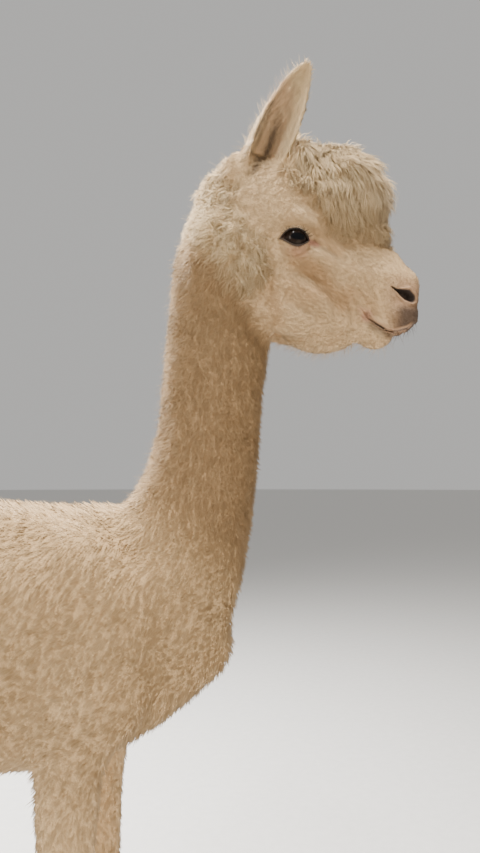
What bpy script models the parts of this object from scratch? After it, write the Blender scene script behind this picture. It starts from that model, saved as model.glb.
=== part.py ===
"""A standing huacaya alpaca, newly shorn, at life size: neck upright, head level and facing forward.

The animal faces +X with its left side towards +Y, and stands on the floor at Z = 0. The body is
lofted from rings along its spine, neck and limbs, merged into one smooth form, and then parted
with thin cuts into the pieces that a person would name. Every surface is the outside of the coat.
All lengths are metres.
"""

import math

import bmesh
import bpy
import numpy as np
from mathutils import Matrix, Vector

GAP = 0.0003  # the clearance that touching solids keep

# Driving dimensions of the animal. The other lengths below are set out around them.
FORE_X, HIND_X = 0.176, -0.440  # the fetlocks, fore and hind
LEG_Y = 0.086  # half the distance between left and right legs
TOE_Y = 0.016  # half the distance between the two toes of a foot
EYE_AT = Vector((0.4245, 0.0455, 1.1590))
EYE_RADIUS = 0.0200
EAR_ROOT = Vector((0.374, 0.048, 1.240))
EAR_TIP = Vector((0.443, 0.080, 1.370))
EAR_WALL = 0.0055
COARSE_VOXEL, FINE_VOXEL = 0.008, 0.004

COLOURS = {
    "coat": (0.66, 0.52, 0.36, 1),
    "eye": (0.012, 0.010, 0.012, 1),
    "nail": (0.13, 0.10, 0.08, 1),
}
ROUGHNESS = {"coat": 0.95, "eye": 0.08, "nail": 0.5}


# Helpers for meshes and objects


def clear_scene():
    for obj in list(bpy.data.objects):
        bpy.data.objects.remove(obj, do_unlink=True)


def material(name):
    made = bpy.data.materials.get(name) or bpy.data.materials.new(name)
    made.use_nodes = True
    shader = made.node_tree.nodes["Principled BSDF"]
    shader.inputs["Base Color"].default_value = COLOURS[name]
    shader.inputs["Roughness"].default_value = ROUGHNESS[name]
    shader.inputs["Metallic"].default_value = 0.0
    return made


def new_object(name, mesh):
    obj = bpy.data.objects.new(name, mesh)
    bpy.context.scene.collection.objects.link(obj)
    return obj


def object_from(name, bm):
    bmesh.ops.recalc_face_normals(bm, faces=bm.faces[:])
    mesh = bpy.data.meshes.new(name)
    bm.to_mesh(mesh)
    bm.free()
    return new_object(name, mesh)


def settled(obj):
    """Applies the object's modifiers, and returns the object."""
    graph = bpy.context.evaluated_depsgraph_get()
    mesh = bpy.data.meshes.new_from_object(obj.evaluated_get(graph))
    obj.modifiers.clear()
    old, obj.data = obj.data, mesh
    bpy.data.meshes.remove(old)
    return obj


def joined(name, objects):
    """One object holding all these meshes, which are removed."""
    bm = bmesh.new()
    for obj in objects:
        bm.from_mesh(obj.data)
        bpy.data.objects.remove(obj, do_unlink=True)
    return object_from(name, bm)


def copy_of(obj, name):
    return new_object(name, obj.data.copy())


def boolean(obj, operation, cutter):
    modifier = obj.modifiers.new(operation.title(), "BOOLEAN")
    modifier.operation = operation
    modifier.solver = "EXACT"
    modifier.object = cutter
    return settled(obj)


def swollen(obj, by):
    """A copy whose surface lies this far outside the original."""
    grown = copy_of(obj, obj.name + "_swollen")
    modifier = grown.modifiers.new("Swell", "DISPLACE")
    modifier.strength = by
    modifier.mid_level = 0.0
    return settled(grown)


def make_room(host, guest, gap=GAP):
    """Cuts the guest's shape, with a gap around it, out of the host."""
    cutter = swollen(guest, gap)
    boolean(host, "DIFFERENCE", cutter)
    bpy.data.objects.remove(cutter, do_unlink=True)


def mirrored(obj, name):
    """A copy on the other side of the animal's middle plane."""
    twin = copy_of(obj, name)
    twin.data.transform(Matrix.Scale(-1, 4, Vector((0, 1, 0))))
    twin.data.flip_normals()
    return twin


# Lofts


def through(stations, steps):
    """Rows on a smooth curve (Catmull-Rom) through the given rows, this many to each span."""
    rows = np.array(stations, float)
    padded = np.vstack([2 * rows[0] - rows[1], rows, 2 * rows[-1] - rows[-2]])
    found = []
    for i in range(1, len(padded) - 2):
        a, b, c, d = padded[i - 1 : i + 3]
        for t in np.arange(steps) / steps:
            found.append(
                0.5
                * (
                    2 * b
                    + (c - a) * t
                    + (2 * a - 5 * b + 4 * c - d) * t * t
                    + (3 * b - a - 3 * c + d) * t**3
                )
            )
    found.append(rows[-1])
    return np.array(found)


def ring_loft(name, rings):
    """A closed solid through rings of points, each ring a list in the same turning order."""
    bm = bmesh.new()
    loops = [[bm.verts.new(p) for p in ring] for ring in rings]
    sides = len(loops[0])
    for first, second in zip(loops, loops[1:]):
        for i in range(sides):
            j = (i + 1) % sides
            bm.faces.new((first[i], first[j], second[j], second[i]))
    bm.faces.new(loops[0])
    bm.faces.new(loops[-1])
    return object_from(name, bm)


def limb(name, stations, steps=4, sides=28, squareness=2.0):
    """A loft along a path. A station is x, y, z, half the width along Y, and half the depth."""
    rows = through(stations, steps)
    path = rows[:, :3]
    along = np.gradient(path, axis=0)
    turns = np.arange(sides) * math.tau / sides
    rings = []
    for centre, direction, half_width, half_depth in zip(path, along, rows[:, 3], rows[:, 4]):
        tangent = Vector(direction).normalized()
        depth_axis = tangent.cross(Vector((0, 1, 0))).normalized()
        side_axis = depth_axis.cross(tangent)
        ring = []
        for turn in turns:
            c, s = math.cos(turn), math.sin(turn)
            across = half_width * math.copysign(abs(c) ** (2 / squareness), c)
            deep = half_depth * math.copysign(abs(s) ** (2 / squareness), s)
            ring.append(Vector(centre) + side_axis * across + depth_axis * deep)
        rings.append(ring)
    return ring_loft(name, rings)


def lump(name, centre, radii, pitch=0.0, yaw=0.0):
    """An ellipsoid. Pitch lifts its front end, and yaw turns that end towards +Y, in degrees."""
    bm = bmesh.new()
    bmesh.ops.create_icosphere(bm, subdivisions=3, radius=1.0)
    turn = Matrix.Rotation(math.radians(yaw), 4, "Z") @ Matrix.Rotation(math.radians(-pitch), 4, "Y")
    place = Matrix.Translation(centre) @ turn @ Matrix.Diagonal((*radii, 1.0))
    bmesh.ops.transform(bm, matrix=place, verts=bm.verts[:])
    return object_from(name, bm)


def lump_pair(name, centre, radii, pitch=0.0, yaw=0.0):
    """The ellipsoid on the left side, and its mirror image on the right."""
    left = lump(name, centre, radii, pitch, yaw)
    return [left, mirrored(left, name + "_twin")]


# The animal's masses, each a plain closed solid. They overlap, and are merged afterwards.


def trunk_mass():
    """The barrel from buttocks to breast. Each row is x, top, bottom, half the width."""
    barrel = [
        (-0.538, 0.762, 0.680, 0.036),
        (-0.520, 0.800, 0.640, 0.070),
        (-0.475, 0.838, 0.604, 0.100),
        (-0.400, 0.860, 0.582, 0.118),
        (-0.300, 0.869, 0.560, 0.128),
        (-0.180, 0.864, 0.540, 0.138),
        (-0.050, 0.855, 0.528, 0.143),
        (0.060, 0.848, 0.524, 0.137),
        (0.140, 0.845, 0.530, 0.122),
        (0.200, 0.846, 0.546, 0.106),
        (0.260, 0.826, 0.576, 0.086),
        (0.315, 0.790, 0.622, 0.062),
        (0.342, 0.760, 0.668, 0.036),
    ]
    stations = [(x, 0, (top + low) / 2, half, (top - low) / 2) for x, top, low, half in barrel]
    return limb("trunk", stations, squareness=2.25)


def neck_mass():
    """Rows are x, y, z of the middle, half the width, half the depth, from chest to poll."""
    return limb(
        "neck",
        [
            (0.246, 0, 0.680, 0.076, 0.094),
            (0.270, 0, 0.748, 0.078, 0.094),
            (0.291, 0, 0.806, 0.074, 0.084),
            (0.309, 0, 0.862, 0.064, 0.073),
            (0.318, 0, 0.910, 0.058, 0.067),
            (0.323, 0, 0.960, 0.055, 0.066),
            (0.329, 0, 1.025, 0.055, 0.067),
            (0.336, 0, 1.080, 0.058, 0.070),
            (0.346, 0, 1.140, 0.063, 0.072),
            (0.362, 0, 1.190, 0.064, 0.070),
            (0.382, 0, 1.232, 0.058, 0.060),
            (0.396, 0, 1.262, 0.044, 0.042),
        ],
    )


def limb_muscles():
    """The shoulders, upper arms and thighs that swell the barrel's sides."""
    return [
        *lump_pair("shoulder", (0.190, 0.072, 0.705), (0.078, 0.044, 0.120), pitch=12),
        *lump_pair("upper_arm", (0.200, 0.082, 0.628), (0.064, 0.036, 0.062)),
        *lump_pair("hip", (-0.385, 0.070, 0.745), (0.112, 0.058, 0.090), pitch=12),
    ]


def foreleg_mass(side):
    y = side * LEG_Y
    return limb(
        "foreleg",
        [
            (0.198, y * 0.85, 0.700, 0.036, 0.070),
            (0.190, y * 0.95, 0.620, 0.038, 0.058),
            (0.174, y, 0.560, 0.034, 0.043),
            (0.172, y, 0.460, 0.028, 0.034),
            (0.175, y, 0.370, 0.0245, 0.0285),
            (0.178, y, 0.322, 0.0270, 0.0310),
            (0.174, y, 0.280, 0.0225, 0.0250),
            (0.172, y, 0.200, 0.0195, 0.0215),
            (0.172, y, 0.125, 0.0205, 0.0225),
            (FORE_X, y, 0.088, 0.0255, 0.0260),
            (FORE_X + 0.013, y, 0.058, 0.0265, 0.0250),
            (FORE_X + 0.024, y, 0.034, 0.0240, 0.0180),
        ],
    )


def hind_leg_mass(side):
    y = side * LEG_Y
    return limb(
        "hind_leg",
        [
            (-0.372, y * 0.80, 0.780, 0.046, 0.105),
            (-0.382, y * 0.93, 0.700, 0.052, 0.120),
            (-0.374, y * 1.02, 0.625, 0.050, 0.108),
            (-0.368, y * 1.07, 0.560, 0.043, 0.082),
            (-0.391, y * 1.05, 0.480, 0.034, 0.055),
            (-0.428, y * 1.02, 0.410, 0.0265, 0.0360),
            (-0.462, y, 0.350, 0.0245, 0.0330),
            (-0.464, y, 0.295, 0.0215, 0.0265),
            (-0.454, y, 0.200, 0.0195, 0.0220),
            (-0.446, y, 0.125, 0.0205, 0.0225),
            (HIND_X, y, 0.088, 0.0255, 0.0260),
            (HIND_X + 0.013, y, 0.058, 0.0265, 0.0250),
            (HIND_X + 0.024, y, 0.034, 0.0240, 0.0180),
        ],
    )


def tail_mass():
    return limb(
        "tail",
        [
            (-0.480, 0, 0.805, 0.030, 0.030),
            (-0.530, 0, 0.800, 0.034, 0.028),
            (-0.566, 0, 0.762, 0.038, 0.026),
            (-0.582, 0, 0.700, 0.038, 0.024),
            (-0.582, 0, 0.640, 0.032, 0.020),
            (-0.576, 0, 0.598, 0.016, 0.010),
        ],
    )


def face_mass():
    """The skull and muzzle from behind the eyes to the nose, without the loose wool."""
    return limb(
        "face",
        [
            (0.350, 0, 1.190, 0.060, 0.070),
            (0.400, 0, 1.168, 0.0590, 0.0820),
            (0.445, 0, 1.146, 0.0510, 0.0840),
            (0.490, 0, 1.128, 0.0385, 0.0740),
            (0.530, 0, 1.118, 0.0310, 0.0580),
            (0.557, 0, 1.110, 0.0275, 0.0450),
            (0.576, 0, 1.108, 0.0235, 0.0310),
            (0.587, 0, 1.108, 0.0160, 0.0150),
        ],
    )


def head_masses():
    """The face, jaw and lips, and the wool that covers the brow, crown and cheeks."""
    return [
        face_mass(),
        lump("crown", (0.388, 0, 1.206), (0.092, 0.072, 0.076), pitch=-20),
        lump("topknot", (0.472, 0, 1.2365), (0.088, 0.067, 0.0725), pitch=-8),
        lump("poll", (0.432, 0, 1.244), (0.058, 0.056, 0.064)),
        lump("forelock", (0.509, 0, 1.206), (0.046, 0.043, 0.052)),
        *lump_pair("ear_root", (0.362, 0.046, 1.245), (0.029, 0.022, 0.030)),
        *lump_pair("cheek", (0.346, 0.036, 1.138), (0.060, 0.046, 0.080)),
        *lump_pair("brow", (0.430, 0.046, 1.189), (0.036, 0.018, 0.016), pitch=-10),
        *lump_pair("cheekbone", (0.450, 0.038, 1.141), (0.044, 0.017, 0.012), pitch=-22, yaw=-14),
        *lump_pair("jaw", (0.424, 0.028, 1.094), (0.066, 0.024, 0.048), pitch=-8),
        lump("jaw_wool", (0.463, 0, 1.066), (0.054, 0.036, 0.036)),
        lump("lower_jaw", (0.506, 0, 1.0690), (0.044, 0.0235, 0.0230), pitch=4),
        lump("chin", (0.531, 0, 1.0580), (0.0255, 0.0200, 0.0230)),
        *lump_pair("upper_lip", (0.564, 0.0115, 1.0785), (0.0215, 0.0165, 0.0230)),
        lump("nose", (0.569, 0, 1.122), (0.0225, 0.0200, 0.0200), pitch=-30),
    ]


def merged(name, masses, voxel, smoothing):
    """One smooth closed form round all the masses."""
    obj = joined(name, masses)
    remesh = obj.modifiers.new("Merge", "REMESH")
    remesh.mode = "VOXEL"
    remesh.voxel_size = voxel
    smooth = obj.modifiers.new("Smooth", "SMOOTH")
    smooth.factor = 0.5
    smooth.iterations = smoothing
    return settled(obj)


def thinned(obj, triangles):
    """Fewer, larger triangles where the form is plain."""
    obj.data.calc_loop_triangles()
    share = triangles / len(obj.data.loop_triangles)
    modifier = obj.modifiers.new("Thin", "DECIMATE")
    modifier.ratio = min(1.0, share)
    modifier.use_collapse_triangulate = True
    return settled(obj)


# The thin cuts that part the body. Each outline is a convex shape in the XZ plane, seen from the
# right side of the animal, given anticlockwise.

POLL_CUT, THROAT_CUT = (0.200, 1.262), (0.444, 0.990)  # the ends of the cut between head and neck
WITHERS_CUT, BREAST_CUT = (0.196, 0.890), (0.400, 0.730)  # and of that between neck and trunk
HEAD_OUTLINE = [POLL_CUT, THROAT_CUT, (0.80, 0.99), (0.80, 1.50), (0.20, 1.50)]
NECK_OUTLINE = [WITHERS_CUT, BREAST_CUT, THROAT_CUT, POLL_CUT]
FORE_FOOT_OUTLINE = [(0.100, -0.05), (0.330, -0.05), (0.330, 0.094), (0.100, 0.112)]
HIND_FOOT_OUTLINE = [(-0.560, -0.05), (-0.300, -0.05), (-0.300, 0.091), (-0.560, 0.112)]
FORELEG_OUTLINE = [
    (0.100, -0.05),
    (0.330, -0.05),
    (0.330, 0.560),
    (0.260, 0.650),
    (0.120, 0.630),
    (0.100, 0.590),
]
HIND_SHANK_OUTLINE = [(-0.560, -0.05), (-0.300, -0.05), (-0.300, 0.360), (-0.560, 0.430)]
THIGH_OUTLINE = [
    (-0.560, -0.05),
    (-0.240, -0.05),
    (-0.240, 0.560),
    (-0.300, 0.740),
    (-0.420, 0.790),
    (-0.560, 0.740),
]
LEG_INNER_Y, OUTER_Y = 0.030, 0.40
TAIL_OUTLINE = [(-0.80, 0.40), (-0.562, 0.40), (-0.530, 0.745), (-0.512, 0.90), (-0.80, 0.90)]


def offset(outline, by):
    """The convex outline with each side moved outwards by this much."""
    points = np.array(outline, float)
    moved = []
    for i, corner in enumerate(points):
        before = corner - points[i - 1]
        after = points[(i + 1) % len(points)] - corner
        normals = [np.array((d[1], -d[0])) / np.hypot(*d) for d in (before, after)]
        moved.append(corner + np.linalg.solve(np.array(normals), np.full(2, by)))
    return moved


def prism(name, outline, low_y, high_y, by=0.0):
    """A cutter: the outline carried from one Y to another, all its faces moved outwards by this much."""
    bm = bmesh.new()
    corners = [bm.verts.new((x, low_y - by, z)) for x, z in offset(outline, by)]
    face = bm.faces.new(corners)
    grown = bmesh.ops.extrude_face_region(bm, geom=[face])["geom"]
    far_side = [v for v in grown if isinstance(v, bmesh.types.BMVert)]
    bmesh.ops.translate(bm, verts=far_side, vec=(0, high_y - low_y + 2 * by, 0))
    return object_from(name, bm)


def regions():
    """The region of each piece in the order they are cut, each an outline and a range of Y."""
    found = {
        "neck": (NECK_OUTLINE, -OUTER_Y, OUTER_Y),
        "tail": (TAIL_OUTLINE, -OUTER_Y, OUTER_Y),
    }
    limbs = {
        "fore_foot": FORE_FOOT_OUTLINE,
        "hind_foot": HIND_FOOT_OUTLINE,
        "hind_shank": HIND_SHANK_OUTLINE,
        "foreleg": FORELEG_OUTLINE,
        "thigh": THIGH_OUTLINE,
    }
    for kind, outline in limbs.items():
        found[kind + "_right"] = (outline, -OUTER_Y, -LEG_INNER_Y)
        found[kind + "_left"] = (outline, LEG_INNER_Y, OUTER_Y)
    return found


def part_of(whole, name, region):
    """The piece of the whole inside a region, less half the gap."""
    piece = copy_of(whole, name)
    cutter = prism(name + "_region", *region, by=-GAP / 2)
    boolean(piece, "INTERSECT", cutter)
    bpy.data.objects.remove(cutter, do_unlink=True)
    return piece


def taken_away(whole, region):
    """Cuts a region, and half the gap around it, out of the whole."""
    cutter = prism("region", *region, by=GAP / 2)
    boolean(whole, "DIFFERENCE", cutter)
    bpy.data.objects.remove(cutter, do_unlink=True)


# Feet


def toe_masses(x, y):
    """Both toes of a foot, each ending in a round pad."""
    toes = []
    for side in (-1, 1):
        toes.append(
            limb(
                "toe",
                [
                    (x + 0.004, y + side * 0.006, 0.062, 0.018, 0.024),
                    (x + 0.016, y + side * 0.0140, 0.032, 0.0175, 0.028),
                    (x + 0.036, y + side * TOE_Y, 0.016, 0.0165, 0.0235),
                    (x + 0.056, y + side * TOE_Y, 0.013, 0.0150, 0.0195),
                    (x + 0.069, y + side * TOE_Y, 0.012, 0.0120, 0.0140),
                ],
                sides=20,
            )
        )
    heel = lump("heel", (x + 0.008, y, 0.015), (0.033, 0.0275, 0.026))
    return [*toes, heel]


def nail(name, x, y):
    """A short, blunt toenail in front of a toe, ending just off the floor."""
    return limb(
        name,
        [
            (x + 0.0480, y, 0.0225, 0.0085, 0.0080),
            (x + 0.0620, y, 0.0200, 0.0082, 0.0080),
            (x + 0.0695, y, 0.0135, 0.0068, 0.0066),
            (x + 0.0745, y, 0.0065, 0.0040, 0.0036),
        ],
        steps=1,
        sides=8,
    )


def flat_soled(obj):
    """Trims what lies below the floor, leaving a flat face at Z = 0."""
    bm = bmesh.new()
    bm.from_mesh(obj.data)
    geometry = bm.verts[:] + bm.edges[:] + bm.faces[:]
    bmesh.ops.bisect_plane(bm, geom=geometry, plane_co=(0, 0, 0), plane_no=(0, 0, 1), clear_inner=True)
    bmesh.ops.holes_fill(bm, edges=[e for e in bm.edges if e.is_boundary], sides=0)
    bmesh.ops.triangulate(bm, faces=bm.faces[:])
    bm.to_mesh(obj.data)
    bm.free()


# Ears and eyes


def ear(name, side):
    """A spear-shaped cup, its hollow turned outwards and a little forward, its tip leaning in front."""
    root = Vector((EAR_ROOT.x, side * EAR_ROOT.y, EAR_ROOT.z))
    tip = Vector((EAR_TIP.x, side * EAR_TIP.y, EAR_TIP.z))
    axis = (tip - root).normalized()
    opening = Vector((0.42, side * 0.90, 0.0))
    opening = (opening - axis * opening.dot(axis)).normalized()
    across = axis.cross(opening)
    # Share of the length, radius of the cup's curve, half its arc in degrees, shift from the axis.
    sections = through(
        [
            (-0.10, 0.0235, 150, 0.000),
            (0.08, 0.0262, 138, 0.001),
            (0.30, 0.0272, 112, 0.003),
            (0.52, 0.0256, 92, 0.005),
            (0.74, 0.0210, 76, 0.006),
            (0.90, 0.0138, 66, 0.005),
            (0.985, 0.0072, 60, 0.003),
        ],
        2,
    )
    length = (tip - root).length
    steps = 7
    rings = []
    for share, radius, half_arc, shift in sections:
        centre = root + axis * (length * share) + opening * shift
        wall = min(EAR_WALL, radius * 0.6)
        ring = []
        for reach, direction in ((radius, 1), (radius - wall, -1)):
            for k in range(steps):
                turn = math.radians(half_arc) * direction * (2 * k / (steps - 1) - 1)
                ring.append(centre - opening * (reach * math.cos(turn)) + across * (reach * math.sin(turn)))
        rings.append(ring)
    return ring_loft(name, rings)


def eye(name, side):
    return lump(name, (EYE_AT.x, side * EYE_AT.y, EYE_AT.z), (EYE_RADIUS,) * 3)


# Assembly


def centre_over_origin(pieces):
    """Slides everything along X until the middle of its length is over the origin."""
    reach = [v.co.x for piece in pieces for v in piece.data.vertices]
    middle = (min(reach) + max(reach)) / 2
    for piece in pieces:
        piece.data.transform(Matrix.Translation((-middle, 0, 0)))


def finish(obj, finish_name):
    obj.data.materials.clear()
    obj.data.materials.append(material(finish_name))
    obj.data.shade_smooth()
    obj.data.set_sharp_from_angle(angle=math.radians(40))


def body_masses():
    legs = [make(side) for side in (-1, 1) for make in (foreleg_mass, hind_leg_mass)]
    feet = [
        mass
        for side in (-1, 1)
        for x in (FORE_X, HIND_X)
        for mass in toe_masses(x, side * LEG_Y)
    ]
    return [trunk_mass(), neck_mass(), tail_mass(), *limb_muscles(), *legs, *feet]


def build():
    clear_scene()
    pieces = {}

    body = merged("body", [*body_masses(), *head_masses()], COARSE_VOXEL, smoothing=6)
    thinned(body, 3360)
    flat_soled(body)
    front = merged("front", [neck_mass(), *head_masses()], FINE_VOXEL, smoothing=8)
    thinned(front, 2500)

    head_region = (HEAD_OUTLINE, -OUTER_Y, OUTER_Y)
    pieces["head"] = part_of(front, "head", head_region)
    taken_away(body, head_region)
    for name, region in regions().items():
        pieces[name] = part_of(body, name, region)
        taken_away(body, region)
    body.name = "trunk"
    pieces["trunk"] = body
    bpy.data.objects.remove(front, do_unlink=True)

    for side, word in ((-1, "right"), (1, "left")):
        pieces["eye_" + word] = eye("eye_" + word, side)
        pieces["ear_" + word] = ear("ear_" + word, side)
        make_room(pieces["head"], pieces["eye_" + word])
        make_room(pieces["ear_" + word], pieces["head"])

    for kind, x in (("fore", FORE_X), ("hind", HIND_X)):
        for side, word in ((-1, "right"), (1, "left")):
            for toe, at in (("outer", side), ("inner", -side)):
                name = f"nail_{kind}_{word}_{toe}"
                pieces[name] = nail(name, x, side * LEG_Y + at * TOE_Y)
                make_room(pieces[f"{kind}_foot_{word}"], pieces[name])

    centre_over_origin(pieces.values())
    for name, piece in pieces.items():
        kind = name.split("_")[0]
        finish(piece, kind if kind in COLOURS else "coat")


build()
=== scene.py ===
import math

import bmesh
import bpy
import numpy as np
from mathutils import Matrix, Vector
from mathutils.kdtree import KDTree


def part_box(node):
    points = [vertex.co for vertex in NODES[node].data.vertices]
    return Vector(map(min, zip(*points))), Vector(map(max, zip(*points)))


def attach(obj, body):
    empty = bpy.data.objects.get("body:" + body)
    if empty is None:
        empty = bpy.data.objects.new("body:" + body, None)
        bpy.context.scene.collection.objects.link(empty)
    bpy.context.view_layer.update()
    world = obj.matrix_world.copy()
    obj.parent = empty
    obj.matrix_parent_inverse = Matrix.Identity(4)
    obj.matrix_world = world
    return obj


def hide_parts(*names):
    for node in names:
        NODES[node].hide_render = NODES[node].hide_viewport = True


# A newly shorn huacaya alpaca, standing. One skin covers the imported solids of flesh, lying inside
# them by the depth of the coat. The coat is solid tufts over it. Lengths are metres. The animal
# faces +X with its right side towards -Y, where the camera stands.

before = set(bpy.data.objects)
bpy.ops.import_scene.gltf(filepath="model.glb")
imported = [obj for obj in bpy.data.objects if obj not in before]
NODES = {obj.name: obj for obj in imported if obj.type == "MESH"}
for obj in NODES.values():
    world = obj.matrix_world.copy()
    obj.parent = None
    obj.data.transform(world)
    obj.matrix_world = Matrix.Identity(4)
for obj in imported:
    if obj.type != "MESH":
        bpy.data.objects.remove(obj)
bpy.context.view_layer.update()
FLESH = [n for n in NODES if n.split("_")[0] not in ("eye", "nail")]
RNG = np.random.default_rng(11)

VOXEL = 0.0026
SKIN_TRIANGLES = 176000
PIECE_TRIANGLES = 190000  # a set of tufts with more is cut into pieces
UV_PATCH = 0.003  # a tuft's size on the unwrapped skin
ROOT_DEPTH = 0.0008  # how far a tuft starts under the skin
FLOOR_GAP = 0.0004  # tufts keep this far above the floor
SWELL = 0.0004  # closes the cuts between the solids before they are merged
FOLD = 0.45  # two faces whose normals' dot product is less are a fold
THROUGH = 0.28  # the share of light that passes through wool

low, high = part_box("eye_left")
EYE = np.array((low + high) / 2)
EYE_RADIUS = (high.x - low.x) / 2
HEAD = EYE * (1, 0, 1) + (0, 0, 0.005)  # lines drawn on the head are measured from here


# ---------------- small numeric helpers


def smooth(edge0, edge1, x):
    """0 before edge0, 1 past edge1, and a smooth step between."""
    t = np.clip((x - edge0) / (edge1 - edge0), 0, 1)
    return t * t * (3 - 2 * t)


def bell(x, width):
    """1 at 0, falling away over this width on both sides."""
    return np.exp(-((x / width) ** 2))


def unit(v):
    """The same directions, each of length 1."""
    return v / np.maximum(np.linalg.norm(v, axis=-1, keepdims=True), 1e-12)


def segment_distance(p, a, b):
    """Distance of points from a segment, and how far along it the nearest place is, from 0 to 1."""
    a, b = np.asarray(a, float), np.asarray(b, float)
    t = np.clip(((p - a) @ (b - a)) / ((b - a) @ (b - a)), 0, 1)
    return np.linalg.norm(p - (a + t[:, None] * (b - a)), axis=1), t


def along_line(x, z, points):
    """For points of a side view and a line there: distance, height above the line, and how far along."""
    best = np.full(len(x), 1e9)
    above, share = np.zeros(len(x)), np.zeros(len(x))
    for i, (a, b) in enumerate(zip(points, points[1:])):
        d = np.array(b) - np.array(a)
        t = np.clip(((x - a[0]) * d[0] + (z - a[1]) * d[1]) / (d @ d), 0, 1)
        ox, oz = x - a[0] - t * d[0], z - a[1] - t * d[1]
        away = np.hypot(ox, oz)
        nearer = away < best
        sign = np.sign(d[0] * oz - d[1] * ox)
        best = np.where(nearer, away, best)
        above = np.where(nearer, away * sign, above)
        share = np.where(nearer, (i + t) / (len(points) - 1), share)
    return best, above, share


def in_lump(p, centre, radii, soft=0.25):
    """1 inside an ellipsoid on either side of the middle plane, fading to 0 outside."""
    q = (np.stack([p[:, 0], np.abs(p[:, 1]), p[:, 2]], 1) - centre) / radii
    return smooth(1 + soft, 1 - soft * 0.4, np.linalg.norm(q, axis=1))


def waves(p, size, seed):
    """A cheap smooth random field from -1 to 1, with bumps of about this size."""
    rng = np.random.default_rng(seed)
    total = np.zeros(len(p))
    for _ in range(7):
        direction = unit(rng.normal(size=3))
        total += np.sin(p @ direction * (math.tau / size) * rng.uniform(0.6, 1.5) + rng.uniform(0, math.tau))
    return np.clip(total / 3.2, -1, 1)


# ---------------- where things are on the animal

EAR_AXES = {}
for ear_side, ear_word in ((1, "left"), (-1, "right")):
    low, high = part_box("ear_" + ear_word)
    outer = max(low.y * ear_side, high.y * ear_side)
    EAR_AXES[ear_side] = (
        np.array((low.x + 0.026, ear_side * (outer - 0.034), low.z + 0.020)),
        np.array((high.x - 0.004, ear_side * (outer - 0.003), high.z)),
    )

TOPKNOT_MIDDLE = HEAD + (0.045, 0, 0.050)  # the crown's wool is shaded as a ball round this place

# Lines on the side of the head, each a list of (forward, up) places.
TOPKNOT_EDGE = [
    (-0.020, 0.060), (0.000, 0.056), (0.012, 0.051), (0.026, 0.038), (0.045, 0.014),
    (0.063, 0.002), (0.096, 0.009), (0.130, 0.009),
]

# The front edge of the wool on the nape and cheek, as (up, forward).
BONNET_EDGE = [
    (-0.128, -0.030), (-0.107, -0.053), (-0.083, -0.060), (-0.061, -0.037), (-0.038, -0.030),
    (-0.014, -0.034), (0.006, -0.045), (0.030, -0.070), (0.060, -0.075), (0.090, -0.085),
]


def above_edge(p):
    """Height above the lower edge of the topknot, which comes to a point on the nose bridge."""
    dx, dz, side = head_local(p)
    point = 0.016 * bell(side, 0.020) * smooth(0.060, 0.090, dx)
    return dz - np.interp(dx, *zip(*TOPKNOT_EDGE)) + point + 0.004 * waves(p, 0.022, 9)


def head_local(p):
    """Places on the head: forward, up, and the distance from the middle plane."""
    return p[:, 0] - HEAD[0], p[:, 2] - HEAD[2], np.abs(p[:, 1])


def beyond(p, a, b, soft):
    """1 on the right-hand side of the XZ line from a to b (seen from the animal's right), else 0."""
    d = np.array(b, float) - np.array(a, float)
    n = np.array((-d[1], d[0])) / np.hypot(*d)
    s = (p[:, [0, 2]] - np.array(a)) @ n
    return smooth(-soft, soft, s)


def regions(p):
    """Soft shares, from 0 to 1, of each part of the coat at these points."""
    dx, dz, side = head_local(p)
    head = beyond(p, (HEAD[0] - 0.140, HEAD[2] + 0.010), (HEAD[0] - 0.010, HEAD[2] - 0.150), 0.020)
    neck = beyond(p, (0.212, 0.878), (0.400, 0.735), 0.040) * (1 - head)
    trunk = (1 - neck) * (1 - head)
    leg = smooth(0.580, 0.500, p[:, 2]) * trunk
    foot = smooth(0.085, 0.050, p[:, 2])
    tail = smooth(-0.512, -0.532, p[:, 0]) * smooth(0.060, 0.046, side) * smooth(0.560, 0.590, p[:, 2])
    ear = np.zeros(len(p))
    for sign, (root, tip) in EAR_AXES.items():
        away, along = segment_distance(p, root, tip)
        ear = np.maximum(ear, smooth(0.036, 0.028, away) * smooth(0.08, 0.24, along) * (p[:, 1] * sign > 0))
    top = np.maximum(
        in_lump(p, HEAD + (0.0475, 0, 0.070), (0.092, 0.074, 0.078), 0.12),
        in_lump(p, HEAD + (0.0855, 0, 0.042), (0.054, 0.056, 0.062), 0.12),
    )
    top = top * (1 - ear) * head * smooth(-0.004, 0.008, above_edge(p)) * smooth(-0.024, -0.006, dx)
    border = np.interp(dz, *zip(*BONNET_EDGE))
    between_ears = smooth(0.044, 0.032, side) * smooth(0.030, 0.060, dz)
    border = border + between_ears * (0.030 - border)
    bonnet = smooth(0.012, -0.012, dx - border + 0.006 * waves(p, 0.030, 6)) * head * (1 - ear) * (1 - top)
    face = head * (1 - ear) * (1 - top) * (1 - bonnet)
    return dict(
        head=head, neck=neck, trunk=trunk * (1 - leg) * (1 - tail), leg=leg * (1 - foot),
        foot=leg * foot, tail=tail * trunk, ear=ear * head, top=top, bonnet=bonnet, face=face,
    )


EAR_DEPTH = 0.0012


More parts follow.
